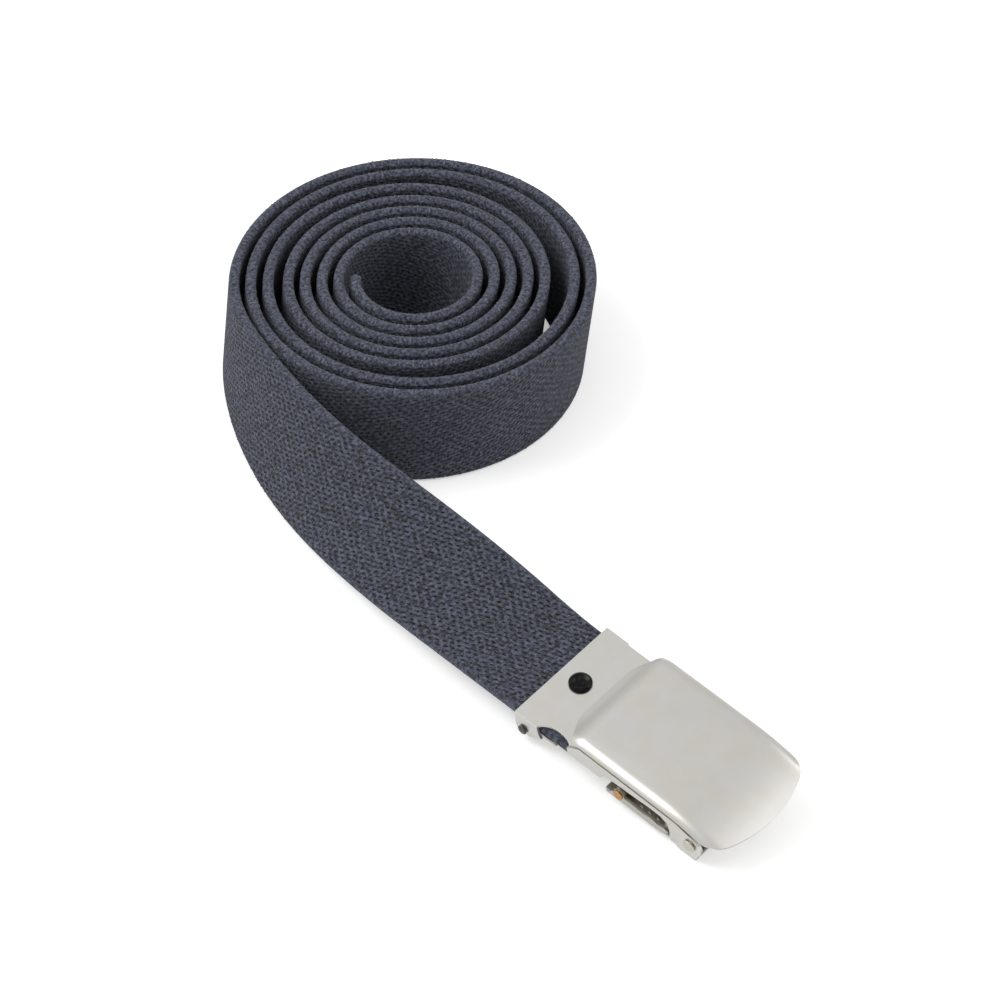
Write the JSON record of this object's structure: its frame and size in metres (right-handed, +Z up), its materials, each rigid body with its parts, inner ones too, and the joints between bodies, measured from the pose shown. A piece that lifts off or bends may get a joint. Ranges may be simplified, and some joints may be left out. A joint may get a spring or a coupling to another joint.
{
  "type": "gait belt",
  "caption": "Webbing gait belt rolled up on its edge, with a flip-top cam buckle on its free end.",
  "frame": {"origin": "middle of the bounding box on the table", "axes": "+X from the coil along the buckle towards its nose, +Y across the strap away from the viewer, +Z up"},
  "size_m": [0.239, 0.1338, 0.0322],
  "materials": {
    "back_plate": "satin nickel plate",
    "belt_rivet": "blackened steel",
    "belt_webbing": "dark navy cotton webbing",
    "buckle_frame": "satin nickel plate",
    "cam_lever": "satin nickel plate",
    "clamp_jaw": "satin nickel plate",
    "clamp_pin": "satin nickel plate",
    "cover_hinge_pin": "satin nickel plate",
    "cover_shell": "satin nickel plate",
    "cover_spring": "spring steel",
    "guide_roller": "plain brass",
    "guide_roller_pin": "satin nickel plate",
    "rivet_burr": "blackened steel",
    "spring_rivet": "satin nickel plate"
  },
  "bodies": {
    "belt": {"back_plate": "back_plate", "belt_rivet": "belt_rivet", "belt_webbing": "belt_webbing", "buckle_frame": "buckle_frame", "clamp_pin": "clamp_pin", "cover_hinge_pin": "cover_hinge_pin", "cover_spring": "cover_spring", "guide_roller_pin": "guide_roller_pin", "rivet_burr": "rivet_burr", "spring_rivet": "spring_rivet"},
    "cover": {"cover_shell": "cover_shell", "cam_lever": "cam_lever"},
    "clamp": {"clamp_jaw": "clamp_jaw"},
    "roller": {"guide_roller": "guide_roller"}
  },
  "joints": [
    {"name": "cover_lift", "type": "hinge", "parent": "belt", "child": "cover", "pos_m": [0.10782, -0.04891, 0.00782], "axis": [0.0097, 0.9903, 0.1388], "range_deg": [0, 75]},
    {"name": "clamp_release", "type": "hinge", "parent": "belt", "child": "clamp", "pos_m": [0.05119, -0.04816, 0.00641], "axis": [0.0097, 0.9903, 0.1388], "range_deg": [0, 45]},
    {"name": "roller_spin", "type": "hinge", "parent": "belt", "child": "roller", "pos_m": [0.08428, -0.04872, 0.00807], "axis": [0.0097, 0.9903, 0.1388], "continuous": true}
  ]
}
